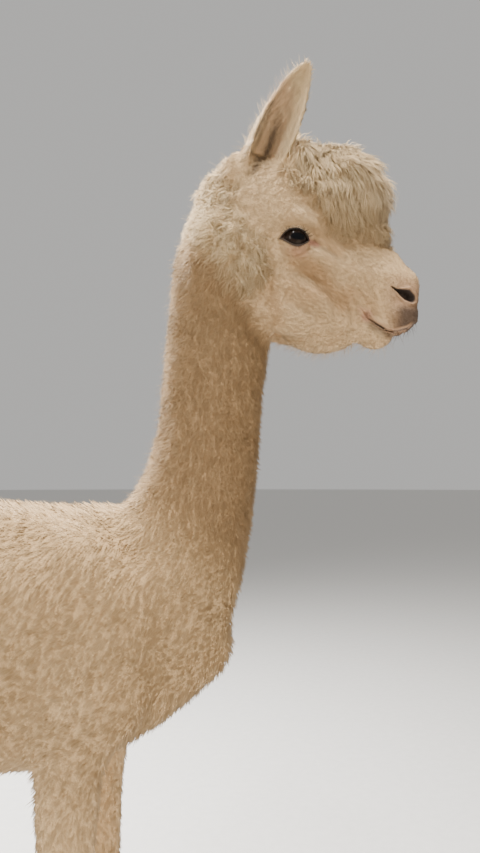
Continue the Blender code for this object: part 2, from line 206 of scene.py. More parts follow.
def coat_depth(p, r):
    """How far the skin lies inside the solids."""
    dx, dz, _ = head_local(p)
    muzzle = smooth(0.09, 0.13, dx)
    brow = smooth(0.036, 0.006, dz) * smooth(0.090, 0.112, dx)
    depth = 0.0055 * r["neck"] + 0.0065 * r["trunk"] + 0.0040 * r["leg"] + 0.0015 * r["foot"]
    depth += 0.0090 * r["tail"] + EAR_DEPTH * r["ear"] + 0.0065 * r["bonnet"]
    depth += 0.0120 * r["top"] * smooth(0.0, 0.035, above_edge(p)) * (1 - 0.70 * brow)
    depth += (0.0014 - 0.0008 * muzzle) * r["face"]
    for root, tip in EAR_AXES.values():
        near = smooth(0.042, 0.032, segment_distance(p, root, tip)[0])
        depth = depth * (1 - near) + EAR_DEPTH * near
    return depth


def lie(p, n, r):
    """The direction in which the coat lies, along the surface."""
    _, dz, _ = head_local(p)
    source = HEAD + (0.030, 0, 0.230)  # the crown's wool falls away from here
    fall = unit(p - source) + np.array((0.06, 0, -0.20))
    fixed = dict(
        neck=(-0.22, 0.0, -1.0), trunk=(-0.85, 0.0, -0.50), leg=(-0.16, 0.0, -1.0),
        foot=(0.35, 0.0, -0.9), tail=(-0.05, 0.0, -1.0), bonnet=(-0.40, 0.0, -0.92),
    )
    d = np.zeros_like(p)
    for name, direction in fixed.items():
        d += r[name][:, None] * unit(np.array(direction, float))
    d += r["top"][:, None] * unit(fall)
    back = unit(np.stack([-np.ones(len(p)), np.zeros(len(p)), 0.45 - 6.0 * np.abs(dz + 0.06)], 1))
    d += r["face"][:, None] * back
    for ear_side, (root, tip) in EAR_AXES.items():
        here = (p[:, 1] * ear_side > 0) * r["ear"]
        d += here[:, None] * unit(tip - root)
    d += 1e-4
    d -= n * np.sum(d * n, axis=1, keepdims=True)
    return unit(d)


# The nostril's slit with its half width at each point, and the line between the lips.
NOSTRIL = [(0.1235, -0.0552), (0.1300, -0.0588), (0.1370, -0.0620), (0.1435, -0.0645), (0.1480, -0.0672)]
NOSTRIL_HALF = [0.0008, 0.0016, 0.0040, 0.0060, 0.0052]
MOUTH = [
    (0.0852, -0.0817), (0.0925, -0.0880), (0.0973, -0.0930), (0.1071, -0.0993), (0.1132, -0.1030),
    (0.1199, -0.1070), (0.1318, -0.1083), (0.1437, -0.1059), (0.1530, -0.0990),
]


def xz_line_distance(p, points):
    """Distance from a line on the side of the head, seen square on."""
    dx, dz, _ = head_local(p)
    return along_line(dx, dz, points)[0]


def behind_lips(dx):
    """1 on the sides of the lips, 0 on their front, where lines drawn from the side would smear."""
    return smooth(0.151, 0.144, dx)


def in_nostril(p):
    """Distance from the middle of the nostril as a share of its half width there."""
    dx, dz, _ = head_local(p)
    away, _, share = along_line(dx, dz, NOSTRIL)
    return away / np.interp(share, np.linspace(0, 1, len(NOSTRIL)), NOSTRIL_HALF)


def eye_frame(side):
    """The eye's centre, and its outward, forward and upward directions."""
    centre = np.array((EYE[0], side * EYE[1], EYE[2]))
    out = unit(np.array((0.22, side, 0.06)))
    ahead = unit(np.array((1.0, 0, 0)) - out[0] * out)
    up = np.cross(ahead, out) * (1 if side < 0 else -1)
    if up[2] < 0:
        up = -up
    return centre, out, ahead, up


LID_HALF = 0.0172  # half the length of the opening between the lids


def lid_edges(a):
    """Heights of the upper and lower lid's edge, this far ahead of the eye's centre."""
    t = np.clip((a + 0.0022) / LID_HALF, -1.6, 1.6)
    sag = 0.0016 * np.maximum(t, 0)
    return 0.0092 * (1 - np.abs(t) ** 2.7) - sag, -0.0106 * (1 - np.abs(t) ** 1.8) - sag


def lid_opening(a, b):
    """Positive inside the opening between the lids, negative outside, in metres."""
    top, bottom = lid_edges(a)
    return np.minimum(top - b, b - bottom)


# The hollow of the ear, painted dark as shade, and the fold along the ear's back edge, painted with a thin
# line of shade.
EAR_CREASE = [(-0.0490, 0.0750), (-0.0341, 0.1069), (-0.0247, 0.1314), (-0.0215, 0.1424), (-0.0154, 0.1717)]
EAR_FOLD = [(-0.0600, 0.0880), (-0.0510, 0.1085), (-0.0277, 0.1538)]
# Painted shade in the hollows and grooves on the side of the face, as below the cheekbone and between the
# jaw and the bonnet: a line, its half width, and how dark.
FACE_SHADE_LINES = [
    ([(0.004, -0.030), (0.032, -0.044), (0.046, -0.066), (0.062, -0.078)], 0.011, 0.80),
    ([(0.000, -0.062), (0.022, -0.072)], 0.014, 0.40),
    ([(0.070, -0.062), (0.086, -0.066), (0.100, -0.078)], 0.010, 0.35),
    ([(-0.028, -0.060), (-0.020, -0.100)], 0.010, 0.45),
    ([(0.030, 0.006), (0.058, -0.012)], 0.008, 0.35),
]


def most(*shares):
    """The largest of several shares at each point."""
    return np.max(shares, axis=0)


def lid_tints(p):
    """Pink and dark at the lids' edges, the eye's inner corner and the bare skin under the eye."""
    pink, dark = np.zeros(len(p)), np.zeros(len(p))
    for side in (-1, 1):
        centre, out, ahead, up = eye_frame(side)
        q = p - centre
        a, b, h = q @ ahead, q @ up, q @ out
        near = (h > -0.004) & (np.hypot(a, b) < 0.05)
        flat = np.stack([a, np.zeros(len(p)), b], 1)
        corner, _ = segment_distance(flat, (0.018, 0, -0.002), (0.028, 0, -0.003))
        under = smooth(0.022, 0.004, np.hypot(a - 0.004, (b + 0.014) * 1.5))
        dark = most(dark, near * 0.95 * smooth(0.0034, 0.0012, -lid_opening(a, b)))
        pink = most(pink, near * 0.85 * smooth(0.008, 0.002, corner), near * 0.45 * under)
    return pink, dark


def muzzle_tints(p):
    """Pink, dark and deep round the nostrils, the lips and the mouth line, much of the dark and deep being
    painted shade, with a painted highlight on the upper lip's rim.
    """
    dx, dz, _ = head_local(p)
    mouth, above, along = along_line(dx, dz, MOUTH)
    snout = smooth(0.070, 0.090, dx)
    sides = behind_lips(dx)
    corner = np.hypot(dx - 0.094, dz + 0.090)
    muzzle = smooth(0.095, 0.145, dx + 0.10 * (dz + 0.07)) * smooth(-0.020, -0.065, dz)
    # Painted highlight: a pale line along the upper lip's lower rim, where the painted shade is lifted.
    edge = bell(above - 0.0022, 0.0009) * smooth(0.005, 0.003, mouth) * sides
    upper = most(smooth(0.0, 0.0015, above), 1 - sides)
    # Painted shade on the lower part of the upper lip, above the mouth line.
    lip_lobe_shade = smooth(0.112, 0.140, dx) * smooth(-0.066, -0.086, dz) * (1 - 0.7 * edge) * upper
    # Painted shade on the lower lip and chin, under the upper lip.
    lower = smooth(0.001, -0.003, above) * smooth(0.016, 0.004, mouth) * smooth(0.1, 0.4, along)
    # Painted shade in the groove between the lips.
    line = smooth(0.0018, 0.0006, mouth) * smooth(0.02, 0.40, along)
    pink = most(
        0.34 * muzzle,
        0.70 * smooth(0.013, 0.002, corner) * snout,
        0.40 * smooth(0.006, 0.001, mouth) * snout,
    )
    dark = most(
        # The muzzle: partly its darker hair, partly painted shade.
        0.45 * muzzle,
        0.88 * lip_lobe_shade,
        0.34 * smooth(0.010, 0.002, corner) * snout,
        0.66 * lower * snout * sides,
        0.92 * line * snout * sides,
        # Painted shade inside the nostril.
        0.98 * smooth(1.75, 1.05, in_nostril(p)) * snout,
    )
    # The muzzle's deeper tone: partly its darker hair, partly painted shade.
    return pink, dark, 0.80 * muzzle


def tints(p):
    """Pink skin, dark skin and deeper wool, each from 0 to 1, by place, with painted shade carried in the
    dark and the deep. Skin and coat share them.
    """
    dx, dz, side = head_local(p)
    r = regions(p)
    # Painted shade on the topknot: its upper part stays paler, its lower part is made deeper and darker, as
    # light falls from above.
    high_top = most(smooth(0.0, 0.05, above_edge(p)), smooth(0.085, 0.112, dx))
    # The wool's own deeper tone by part; on the neck partly painted shade, as if in the head's shadow.
    deep_tone_and_shade = 0.88 * r["neck"] + 0.60 * (r["trunk"] + r["leg"] + r["foot"]) + 0.42 * r["face"]
    # Painted shade on the lower topknot; the bonnet is darker towards its bottom.
    deep_tone_and_shade += (0.60 - 0.50 * high_top) * r["top"] + 0.34 * smooth(0.0, -0.11, dz) * r["bonnet"]
    # Painted shade along the face's hollows, deepening the wool and adding some dark.
    face_shade = np.zeros(len(p))
    for line, width, strength in FACE_SHADE_LINES:
        face_shade += strength * bell(xz_line_distance(p, line), width) * r["face"]
    # Painted shade in the ear's hollow and along its fold, inside the cup only.
    crease, _, down = along_line(dx, dz, EAR_CREASE)
    ear_shade = 0.74 * bell(crease, 0.0056) * smooth(1.0, 0.6, down)
    ear_shade = most(ear_shade, 0.46 * bell(xz_line_distance(p, EAR_FOLD), 0.0020))
    in_cup = side > 0.0372 + 0.30 * np.maximum(dz - 0.118, 0)
    ear_pink = 0.26 * r["ear"] * smooth(0.022, 0.008, crease)
    lid_pink, lid_dark = lid_tints(p)
    muzzle_pink, muzzle_dark, muzzle_deep = muzzle_tints(p)
    dark = most(
        ear_shade * in_cup * smooth(0.050, 0.085, dz),
        # Darker face, neck and trunk: partly the coat's tone, partly painted shade, most on the neck; and
        # the painted shade of the face's hollows.
        0.08 * r["face"] + 0.26 * r["neck"] + 0.08 * r["trunk"] + 0.12 * face_shade,
        # Painted shade on the lower topknot.
        0.10 * (1 - high_top) * r["top"],
        lid_dark,
        muzzle_dark,
    )
    return {
        "pink": most(0.06 * r["face"], ear_pink, lid_pink, muzzle_pink),
        "dark": dark,
        "deep_tone_and_shade": most(np.clip(deep_tone_and_shade + face_shade, 0, 1), muzzle_deep),
    }


# ---------------- meshes


def new_object(name, data):
    obj = bpy.data.objects.new(name, data)
    bpy.context.scene.collection.objects.link(obj)
    return obj


def mesh_of(bm, name):
    mesh = bpy.data.meshes.new(name)
    bm.to_mesh(mesh)
    bm.free()
    return mesh


def settled(obj):
    """Replaces an object's mesh by what its modifiers make of it."""
    graph = bpy.context.evaluated_depsgraph_get()
    mesh = bpy.data.meshes.new_from_object(obj.evaluated_get(graph))
    obj.modifiers.clear()
    old, obj.data = obj.data, mesh
    bpy.data.meshes.remove(old)
    return obj


def points_of(mesh):
    co = np.empty(len(mesh.vertices) * 3, np.float32)
    mesh.vertices.foreach_get("co", co)
    return co.reshape(-1, 3).astype(float)


def set_points(mesh, p):
    mesh.vertices.foreach_set("co", p.astype(np.float32).ravel())
    mesh.update()


def normals_of(mesh):
    found = np.empty(len(mesh.vertices) * 3, np.float32)
    mesh.vertex_normals.foreach_get("vector", found)
    return found.reshape(-1, 3).astype(float)


def weight_group(obj, name, weights):
    """A vertex group from an array of weights, in steps that are too small to see."""
    group = obj.vertex_groups.new(name=name)
    level = np.round(np.clip(weights, 0, 1) * 20).astype(int)
    for step in range(1, 21):
        members = np.nonzero(level == step)[0]
        if len(members):
            group.add(members.tolist(), step / 20, "REPLACE")
    return group.name


def add_attribute(mesh, name, values):
    made = mesh.attributes.new(name, "FLOAT", "POINT")
    made.data.foreach_set("value", np.asarray(values, np.float32))


def largest_piece(mesh):
    """Removes every loose piece of a mesh but the largest."""
    bm = bmesh.new()
    bm.from_mesh(mesh)
    left = set(bm.verts)
    pieces = []
    while left:
        start = left.pop()
        piece, front = [start], [start]
        while front:
            for edge in front.pop().link_edges:
                for vert in edge.verts:
                    if vert in left:
                        left.discard(vert)
                        piece.append(vert)
                        front.append(vert)
        pieces.append(piece)
    pieces.sort(key=len)
    bmesh.ops.delete(bm, geom=[v for piece in pieces[:-1] for v in piece], context="VERTS")
    bm.to_mesh(mesh)
    bm.free()


# ---------------- the skin


def base_skin():
    """All the flesh as one closed surface, without the facets and cuts of the solids."""
    bm = bmesh.new()
    for name in FLESH + ["eye_left", "eye_right"]:
        bm.from_mesh(NODES[name].data)
    bmesh.ops.remove_doubles(bm, verts=bm.verts[:], dist=1e-6)
    obj = new_object("skin", mesh_of(bm, "skin"))
    swell = obj.modifiers.new("Swell", "DISPLACE")
    swell.strength = SWELL
    swell.mid_level = 0.0
    remesh = obj.modifiers.new("Merge", "REMESH")
    remesh.mode = "VOXEL"
    remesh.voxel_size = VOXEL
    settled(obj)
    largest_piece(obj.data)
    p = points_of(obj.data)
    r = regions(p)
    plain = r["trunk"] + 0.55 * r["neck"] + 0.10 * r["leg"] + 0.25 * (r["top"] + r["bonnet"])
    for root, _ in EAR_AXES.values():
        plain = np.maximum(plain, 0.75 * smooth(0.044, 0.024, np.linalg.norm(p - root, axis=1)))
    for group, iterations in (("plain", 90), ("all", 5)):
        modifier = obj.modifiers.new(group, "SMOOTH")
        modifier.factor = 0.5
        modifier.iterations = iterations
        weights = plain if group == "plain" else 1 - 0.6 * r["ear"]
        modifier.vertex_group = weight_group(obj, group, weights)
    settled(obj)
    obj.vertex_groups.clear()
    return obj


def refine(obj, chosen):
    """Halves the edges round the chosen vertices."""
    bm = bmesh.new()
    bm.from_mesh(obj.data)
    bm.verts.ensure_lookup_table()
    faces = [f for f in bm.faces if all(chosen[v.index] for v in f.verts)]
    edges = sorted({e for f in faces for e in f.edges}, key=lambda e: e.index)
    bmesh.ops.subdivide_edges(bm, edges=edges, cuts=1, use_grid_fill=True)
    bmesh.ops.triangulate(bm, faces=[f for f in bm.faces if len(f.verts) > 4])
    bm.to_mesh(obj.data)
    bm.free()


# Ridges and grooves of the head: a line of (forward, up) points from the eye, how wide, how high.
HEAD_FORMS = [
    ([(0.004, -0.024), (0.040, -0.027), (0.082, -0.040)], 0.010, 0.0034),
    ([(0.024, -0.042), (0.042, -0.058), (0.060, -0.075)], 0.0115, -0.0072),
    ([(0.050, -0.046), (0.072, -0.060)], 0.009, 0.0022),
    ([(-0.004, -0.078), (0.014, -0.088), (0.034, -0.096)], 0.0070, -0.0050),
    ([(0.002, -0.056), (0.020, -0.066), (0.034, -0.082)], 0.012, 0.0036),
    ([(0.026, -0.002), (0.044, -0.012), (0.060, -0.022)], 0.0045, -0.0034),
    ([(-0.016, 0.020), (0.004, 0.023), (0.026, 0.014)], 0.0075, 0.0024),
    ([(-0.014, -0.018), (0.002, -0.0215), (0.018, -0.0165)], 0.0030, -0.0016),
    ([(0.095, -0.033), (0.112, -0.040)], 0.016, 0.0018),
    ([(0.060, 0.000), (0.090, -0.012), (0.118, -0.024)], 0.008, -0.0020),
    ([(0.106, -0.060), (0.112, -0.074), (0.116, -0.086)], 0.006, -0.0020),
    ([(0.126, -0.084), (0.141, -0.092)], 0.013, 0.0028),
    ([(0.074, -0.066), (0.079, -0.080), (0.078, -0.096)], 0.0055, -0.0032),
    ([(0.064, -0.074), (0.067, -0.090), (0.068, -0.104)], 0.009, 0.0024),
]


def sculpt_head(p, n):
    """Moves the head's points for the bones, muscles, nostrils and lips."""
    dx, dz, side = head_local(p)
    sideways = smooth(0.12, 0.50, np.abs(n[:, 1]))
    moved = p.copy()
    for points, width, height in HEAD_FORMS:
        d = xz_line_distance(p, points)
        moved += n * (height * bell(d, width) * sideways)[:, None]
    facing = smooth(0.05, 0.35, np.abs(n[:, 1])) * smooth(0.003, 0.009, side)
    nostril = in_nostril(p)
    inward = unit(np.stack([-0.45 * np.ones(len(p)), -np.sign(p[:, 1]), 0.15 * np.ones(len(p))], 1))
    rim = 0.0018 * bell(nostril - 1.6, 0.45) * facing
    moved += n * rim[:, None] + inward * (0.0120 * smooth(1.15, 0.55, nostril) * facing)[:, None]
    mouth, above, along = along_line(dx, dz, MOUTH)
    lips = facing * smooth(0.0, 0.25, along) * (mouth < 0.02)
    moved += n * (0.0020 * bell(above - 0.0045, 0.0038) * lips)[:, None]
    moved -= n * (0.0018 * bell(above + 0.0035, 0.0040) * lips)[:, None]
    groove = bell(mouth, 0.0010) * smooth(-0.1, 0.35, along) * behind_lips(dx)
    moved -= n * (0.0036 * groove)[:, None]
    philtrum = bell(p[:, 1], 0.0013) * smooth(0.125, 0.145, dx) * smooth(-0.062, -0.074, dz)
    moved -= n * (0.0028 * philtrum)[:, None]
    return moved


def shape_lids(p):
    """Wraps the lids round the eyes, and sinks the skin behind the eyeball between them."""
    moved = p.copy()
    for side in (-1, 1):
        centre, out, ahead, up = eye_frame(side)
        q = p - centre
        a, b, h = q @ ahead, q @ up, q @ out
        spread = np.hypot(a, b)
        near = (h > 0) & (spread < 0.036)
        e = lid_opening(a, b)
        edge = near & (np.abs(e) < 0.0007)
        for _ in range(3):
            step = 0.0002
            ga = (lid_opening(a + step, b) - lid_opening(a - step, b)) / (2 * step)
            gb = (lid_opening(a, b + step) - lid_opening(a, b - step)) / (2 * step)
            g2 = np.maximum(ga * ga + gb * gb, 0.25)
            shift = np.where(edge, -(lid_opening(a, b) + 0.00005) / g2, 0)
            a, b = a + shift * ga, b + shift * gb
        e = lid_opening(a, b)
        gap = np.maximum(-e, 0)
        lid_radius = EYE_RADIUS + 0.0015 + 0.0010 * bell(gap, 0.0022)
        crease = 0.0013 * bell(gap - 0.0062, 0.0016) * smooth(-0.002, 0.004, b)
        lower = 0.0008 * bell(gap - 0.0055, 0.0018) * smooth(0.002, -0.004, b)
        lid_radius = lid_radius - crease - lower
        flat = np.stack([a, b], 1)
        ball = np.sqrt(np.maximum(lid_radius**2 - (flat**2).sum(1), 0.006**2))
        share = smooth(0.0150, 0.0020, gap) * smooth(0.034, 0.022, spread)
        height = np.maximum(h, h * (1 - share) + ball * share)
        sunk = np.sqrt(np.maximum((EYE_RADIUS - 0.0035) ** 2 - (flat**2).sum(1), 1e-8))
        height = np.where(e > 0, np.minimum(h, sunk), height)
        target = centre + a[:, None] * ahead + b[:, None] * up + height[:, None] * out
        moved = np.where(near[:, None], target, moved)
    return moved


def flatten_folds(bm):
    """Eases the few places on the plain parts of the body where thinning has folded the skin."""
    bm.normal_update()
    folded = set()
    for edge in bm.edges:
        if len(edge.link_faces) == 2 and edge.link_faces[0].normal.dot(edge.link_faces[1].normal) < FOLD:
            folded.update(vert.index for vert in edge.verts)
    for _ in range(3):
        folded |= {e.other_vert(bm.verts[i]).index for i in folded for e in bm.verts[i].link_edges}
    near = sorted(folded)
    place = np.array([bm.verts[i].co for i in near]).reshape(-1, 3)
    r = regions(place)
    plain = (r["trunk"] + r["neck"] + r["leg"] + r["top"] + r["bonnet"] > 0.7) & (place[:, 2] > 0.10)
    verts = [bm.verts[i] for i, chosen in zip(near, plain) if chosen]
    for _ in range(12):
        bmesh.ops.smooth_vert(bm, verts=verts, factor=0.5, use_axis_x=True, use_axis_y=True, use_axis_z=True)


def build_skin():
    obj = base_skin()
    p = points_of(obj.data)
    dx, dz, side = head_local(p)
    near_eye = np.hypot(dx, dz) < 0.040
    near_nose = (dx > 0.070) & (dz < -0.015)
    refine(obj, (near_eye & (side > 0.03)) | near_nose)
    p = points_of(obj.data)
    dx, dz, side = head_local(p)
    at_lids = (np.hypot(dx, dz + 0.005) < 0.024) & (side > 0.03)
    at_mouth = (xz_line_distance(p, MOUTH) < 0.005) | (in_nostril(p) < 2.2)
    refine(obj, at_lids | (at_mouth & (dx > 0.07)))
    p = points_of(obj.data)
    n = normals_of(obj.data)
    r = regions(p)
    lumps = 0.0012 * waves(p, 0.060, 3) * (r["trunk"] + r["neck"])
    lumps += (0.0030 * waves(p, 0.034, 4) + 0.0026 * waves(p, 0.017, 14)) * r["top"]
    lumps += (0.0016 * waves(p, 0.030, 5) + 0.0026 * waves(p, 0.016, 15)) * r["bonnet"]
    lumps += 0.0010 * waves(p, 0.014, 16) * r["neck"]
    p = p - n * (coat_depth(p, r) - lumps)[:, None]
    set_points(obj.data, p)
    p = sculpt_head(p, normals_of(obj.data))
    p = shape_lids(p)
    p[:, 2] = np.maximum(p[:, 2], 0.0003)
    set_points(obj.data, p)
    r = regions(p)
    keep = np.clip(r["face"] + 0.35 * r["ear"], 0, 1)
    obj.data.calc_loop_triangles()
    share = SKIN_TRIANGLES / len(obj.data.loop_triangles)
    if share < 1:
        thin = obj.modifiers.new("Thin", "DECIMATE")
        thin.ratio = share
        thin.vertex_group = weight_group(obj, "thin", 1 - 0.92 * keep)
    settled(obj)
    obj.vertex_groups.clear()
    bm = bmesh.new()
    bm.from_mesh(obj.data)
    bmesh.ops.triangulate(bm, faces=bm.faces[:])
    bm.verts.ensure_lookup_table()
    bm.verts.index_update()
    flatten_folds(bm)
    bm.to_mesh(obj.data)
    bm.free()
    obj.data.shade_smooth()
    unwrap(obj)
    p = points_of(obj.data)
    for attribute, values in tints(p).items():
        add_attribute(obj.data, attribute, values)
    add_attribute(obj.data, "along", np.full(len(p), 0.25))
    add_attribute(obj.data, "tuft", np.full(len(p), 0.5))
    return obj


def unwrap(obj):
    bpy.ops.object.select_all(action="DESELECT")
    obj.select_set(True)
    bpy.context.view_layer.objects.active = obj
    bpy.ops.object.mode_set(mode="EDIT")
    bpy.ops.mesh.select_all(action="SELECT")
    bpy.ops.uv.smart_project(angle_limit=math.radians(66), island_margin=0.002)
    bpy.ops.object.mode_set(mode="OBJECT")
    obj.data.uv_layers.active.name = "OFBake"


# ---------------- the coat


class Surface:
    """The skin as arrays, to grow the coat from."""

    def __init__(self, obj):
        mesh = obj.data
        self.points = points_of(mesh)
        self.normals = normals_of(mesh)
        corners = np.empty(len(mesh.loops), np.int32)
        mesh.loops.foreach_get("vertex_index", corners)
        self.faces = corners.reshape(-1, 3)
        uv = np.empty(len(mesh.loops) * 2, np.float32)
        mesh.uv_layers["OFBake"].data.foreach_get("uv", uv)
        self.uv = uv.reshape(-1, 3, 2)
        a, b, c = (self.points[self.faces[:, i]] for i in range(3))
        self.areas = np.linalg.norm(np.cross(b - a, c - a), axis=1) / 2
        self.centres = (a + b + c) / 3
        self.face_normals = unit(np.cross(b - a, c - a))

    def roots(self, density):
        """Random places on the skin, this many to the square metre on each face."""
        expected = np.cumsum(self.areas * density)
        count = int(expected[-1])
        at = (np.arange(count) + RNG.random(count)) / count * expected[-1]
        face = np.minimum(np.searchsorted(expected, at), len(self.faces) - 1)
        u, v = RNG.random(count), RNG.random(count)
        flip = u + v > 1
        u[flip], v[flip] = 1 - u[flip], 1 - v[flip]
        share = np.stack([1 - u - v, u, v], 1)
        places = (self.points[self.faces[face]] * share[:, :, None]).sum(1)
        normals = unit((self.normals[self.faces[face]] * share[:, :, None]).sum(1))
        uv = (self.uv[face] * share[:, :, None]).sum(1)
        return places, normals, uv


def clumped(roots, spacing, seed):
    """For each root, the middle of the clump of wool that it belongs to."""
    rng = np.random.default_rng(seed)
    cells = np.floor(roots / spacing).astype(np.int64)
    _, first = np.unique(cells, axis=0, return_index=True)
    chosen = rng.permutation(first)
    middles = roots[chosen]
    tree = KDTree(len(middles))
    for i, m in enumerate(middles):
        tree.insert(m, i)
    tree.balance()
    nearest = np.array([tree.find(p)[1] for p in roots])
    return middles[nearest], nearest


def tuft_mesh(name, roots, normals, uv, lines, widths, soft=0.7, tone=0.5):
    """Closed three-sided tufts. lines has each tuft's points from root to tip, and widths one less.
    Soft is how far their shading takes after the skin they stand on, and tone how pale each is."""
    count, steps = lines.shape[:2]
    rings = steps - 1
    along = np.linspace(0, 1, steps)
    tangents = unit(np.gradient(lines, axis=1))
    across = unit(np.cross(tangents, normals[:, None, :]) + 1e-9)
    rise = unit(np.cross(tangents, across))
    twist = RNG.random(count)[:, None] * math.tau
    verts = np.empty((count, rings * 3 + 1, 3))
    shading = np.empty_like(verts)
    for k in range(3):
        turn = twist + k * math.tau / 3
        offset = across[:, :rings] * np.cos(turn)[..., None] + rise[:, :rings] * np.sin(turn)[..., None]
        verts[:, k : rings * 3 : 3] = lines[:, :rings] + offset * widths[:, :rings, None]
        shading[:, k : rings * 3 : 3] = unit(offset * (1 - soft) + normals[:, None] * soft)
    verts[:, -1] = lines[:, -1]
    shading[:, -1] = unit(tangents[:, -1] * (1 - soft) + normals * soft)
    faces = [(0, 2, 1)]
    for ring in range(rings - 1):
        for k in range(3):
            a, b = ring * 3 + k, ring * 3 + (k + 1) % 3
            faces += [(a, b, b + 3), (a, b + 3, a + 3)]
    last = (rings - 1) * 3
    faces += [(last + k, last + (k + 1) % 3, rings * 3) for k in range(3)]
    faces = np.array(faces)
    size = rings * 3 + 1
    v_uv = np.empty((size, 2))
    for ring in range(rings):
        for k in range(3):
            v_uv[ring * 3 + k] = ((k / 3 - 0.5) * UV_PATCH, (along[ring] - 0.5) * UV_PATCH)
    v_uv[-1] = (0, UV_PATCH / 2)
    v_along = np.append(np.repeat(along[:rings], 3), 1.0)
    shares = {**tints(roots), "tuft": np.broadcast_to(tone, count)}
    pieces = []
    parts = max(1, math.ceil(count / (PIECE_TRIANGLES // len(faces))))
    order = np.argsort(roots[:, 0] + 0.2 * roots[:, 2], kind="stable")
    for i, chosen in enumerate(np.array_split(order, parts)):
        total = len(chosen)
        index = (np.arange(total)[:, None, None] * size + faces[None]).reshape(-1)
        mesh = bpy.data.meshes.new(name)
        mesh.vertices.add(total * size)
        mesh.vertices.foreach_set("co", verts[chosen].astype(np.float32).ravel())
        mesh.loops.add(len(index))
        mesh.loops.foreach_set("vertex_index", index.astype(np.int32))
        mesh.polygons.add(len(index) // 3)
        mesh.polygons.foreach_set("loop_start", np.arange(0, len(index), 3, dtype=np.int32))
        mesh.update(calc_edges=True)
        corner_uv = (uv[chosen][:, None, :] + v_uv[None])[:, faces.ravel()].reshape(-1, 2)
        layer = mesh.uv_layers.new(name="OFBake")
        layer.data.foreach_set("uv", np.clip(corner_uv, 0, 1).astype(np.float32).ravel())
        add_attribute(mesh, "along", np.tile(v_along, total))
        for attribute, values in shares.items():
            add_attribute(mesh, attribute, np.repeat(values[chosen], size))
        mesh.shade_smooth()
        mesh.normals_split_custom_set_from_vertices(shading[chosen].reshape(-1, 3).astype(np.float32))
        pieces.append(new_object(f"{name}_{i + 1}" if parts > 1 else name, mesh))
    return pieces


def grow(
    surface, name, share, spacing, length, width, lift, steps=3, clump=0.004, pull=0.4, curl=0.0,
    wander=0.25, droop=0.0, spread=0.35, soft=0.75, gather=0.0, fade=False,
):
    """A set of tufts where share is above 0. Lift is the angle from the skin in degrees, clump the
    size of a lock, pull how far its tufts lean to one tip, gather how far locks lean together, curl
    the size of a crimp, wander how far locks turn from the lie of the coat, droop how far tips sink,
    and spread how far lengths differ. Fade shortens the tufts towards the topknot's edge."""
    roots, normals, uv = surface.roots(share / spacing**2)
    count = len(roots)
    middles, which = clumped(roots, clump, 5)
    alike = np.random.default_rng(8).normal(size=(which.max() + 1, 6))[which].clip(-2, 2)
    own = RNG.normal(size=(count, 4)).clip(-2, 2)
    flow = lie(roots, normals, regions(roots))
    side_way = np.cross(normals, flow)
    angle = wander * (0.85 * alike[:, 0] + 0.40 * own[:, 0]) + 0.35 * waves(roots, 0.05, 21)
    flow = unit(flow * np.cos(angle)[:, None] + side_way * np.sin(angle)[:, None])
    side_way = np.cross(normals, flow)
    lifts = np.radians(lift) * (1 + 0.14 * alike[:, 1] + 0.14 * own[:, 1])
    lengths = length * (1 + spread * (0.35 * alike[:, 2] + 0.35 * own[:, 2]).clip(-1.6, 1.6))
    if fade:
        lengths *= 0.38 + 0.62 * smooth(0.0, 0.045, above_edge(roots))
    s = np.linspace(0, 1, steps)
    rise = np.sin(lifts)[:, None] * (s[None] - 0.45 * s[None] ** 2 * droop)
    run = np.cos(lifts)[:, None] * (s[None] + 0.25 * s[None] ** 2 * droop)
    grown = flow[:, None] * run[..., None] + normals[:, None] * rise[..., None]
    lines = roots[:, None] - normals[:, None] * ROOT_DEPTH + lengths[:, None, None] * grown
    lines[..., 2] -= lengths[:, None] * 0.35 * droop * s[None] ** 2
    hold = (pull * RNG.uniform(0.55, 1.10, count))[:, None, None]
    home = (middles - roots)[:, None] * (s[None, :, None] ** 1.5)
    if gather:
        wider, _ = clumped(roots, 2.4 * clump, 6)
        home = home + gather * (wider - middles)[:, None] * (s[None, :, None] ** 1.8)
    stray_tip = alike[:, None, 3:] * (0.12 * length * s[None, :, None] ** 1.6)
    lines = lines + hold * (home + stray_tip)
    if curl:
        phase = (3 * alike[:, 3] + 0.5 * own[:, 3])[:, None]
        turns = s[None] * math.tau * 1.5 + phase
        sway = side_way[:, None] * np.sin(turns)[..., None]
        sway = sway + normals[:, None] * 0.6 * np.cos(turns)[..., None]
        lines = lines + sway * (curl * s[None, :, None])
    lines[..., 2] = np.maximum(lines[..., 2], FLOOR_GAP)
    profile = np.maximum(1 - s[:-1] ** 1.6, 0.05) ** 0.8
    widths = width * (1 + 0.15 * own[:, 2])[:, None] * profile[None]
    lock_tone = 0.17 if gather else 0.09
    tone = np.clip(0.5 + lock_tone * alike[:, 4] + 0.13 * own[:, 1], 0, 1)
    if fade:
        normals = unit(normals + unit(roots - TOPKNOT_MIDDLE))
    return tuft_mesh(name, roots, normals, uv, lines, widths, soft, tone)


# ---------------- materials


